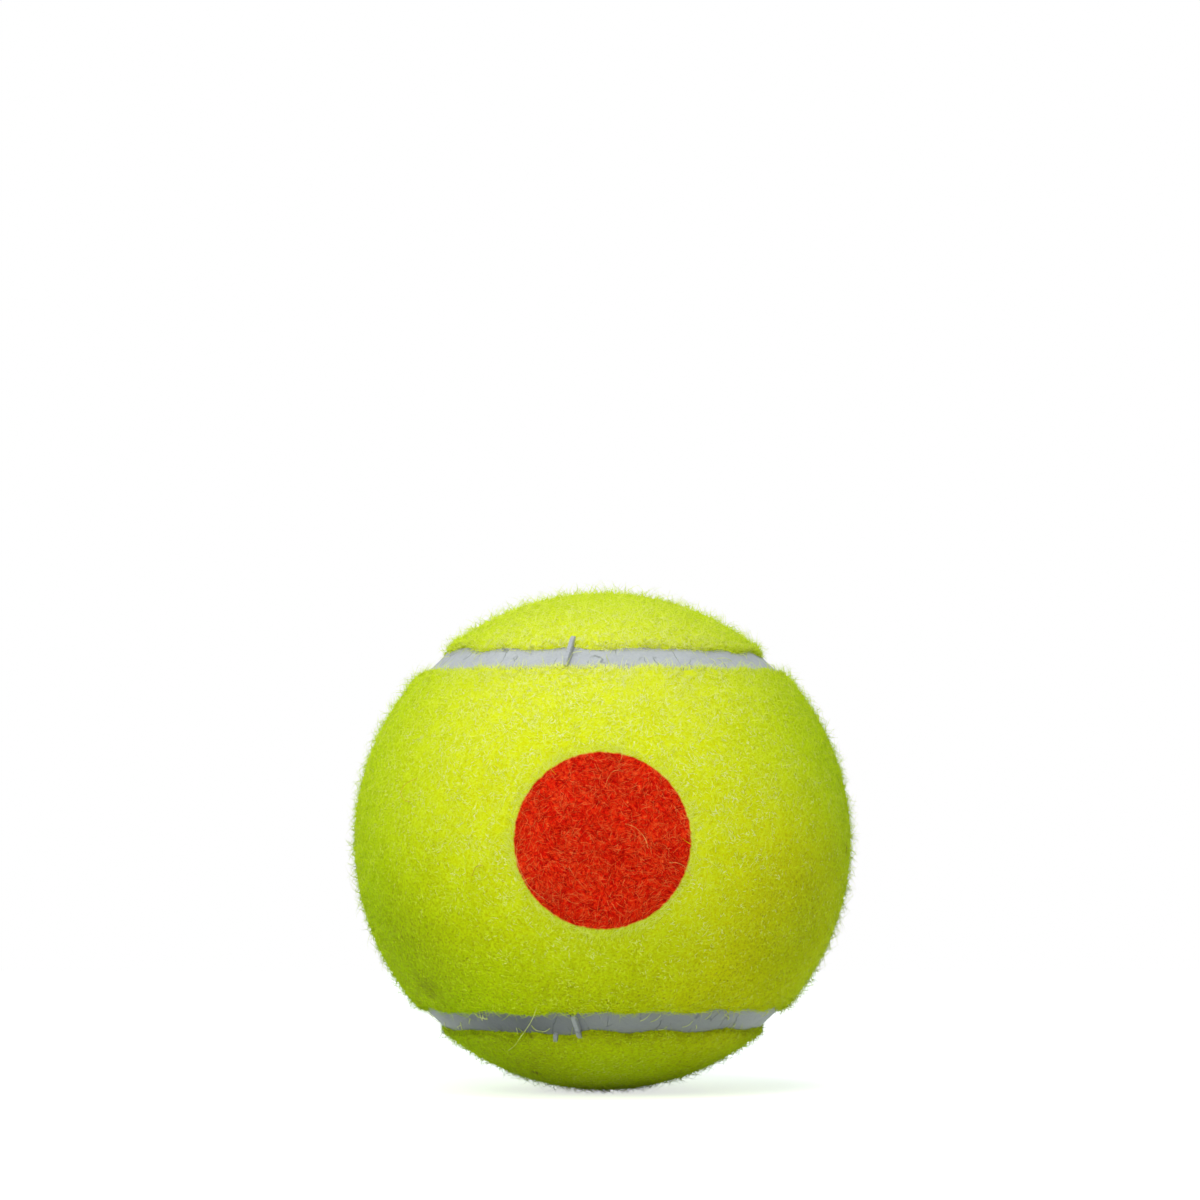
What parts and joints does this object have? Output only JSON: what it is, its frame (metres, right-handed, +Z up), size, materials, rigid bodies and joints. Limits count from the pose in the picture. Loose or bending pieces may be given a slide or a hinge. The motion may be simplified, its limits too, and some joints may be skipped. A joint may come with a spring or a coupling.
{
  "type": "tennis ball",
  "caption": "Felt-covered training tennis ball: hollow rubber core, dumbbell-shaped felt panels, a grey rubber seam and a round printed stage mark.",
  "frame": {"origin": "centre of the ball", "axes": "+Z up as the ball stands in the picture, -Y towards the middle of the printed stage mark, +X to the right when the mark is seen from the front"},
  "size_m": [0.066, 0.066, 0.066],
  "materials": {
    "core_rubber": "matte",
    "joint_glue": "satin",
    "rubber_cement": "satin",
    "backing_weave": "matte",
    "yellow_felt": "matte",
    "inked_felt": "matte",
    "seam_rubber": "matte"
  },
  "bodies": {
    "root": {"core_half_upper": "core_rubber", "core_half_lower": "core_rubber", "core_joint_ring": "joint_glue", "core_cement_coat": "rubber_cement", "felt_backing_front": "backing_weave", "felt_backing_back": "backing_weave", "felt_panel_front": "yellow_felt", "felt_panel_back": "yellow_felt", "stage_mark": "inked_felt", "seam_rubber": "seam_rubber"}
  },
  "joints": []
}
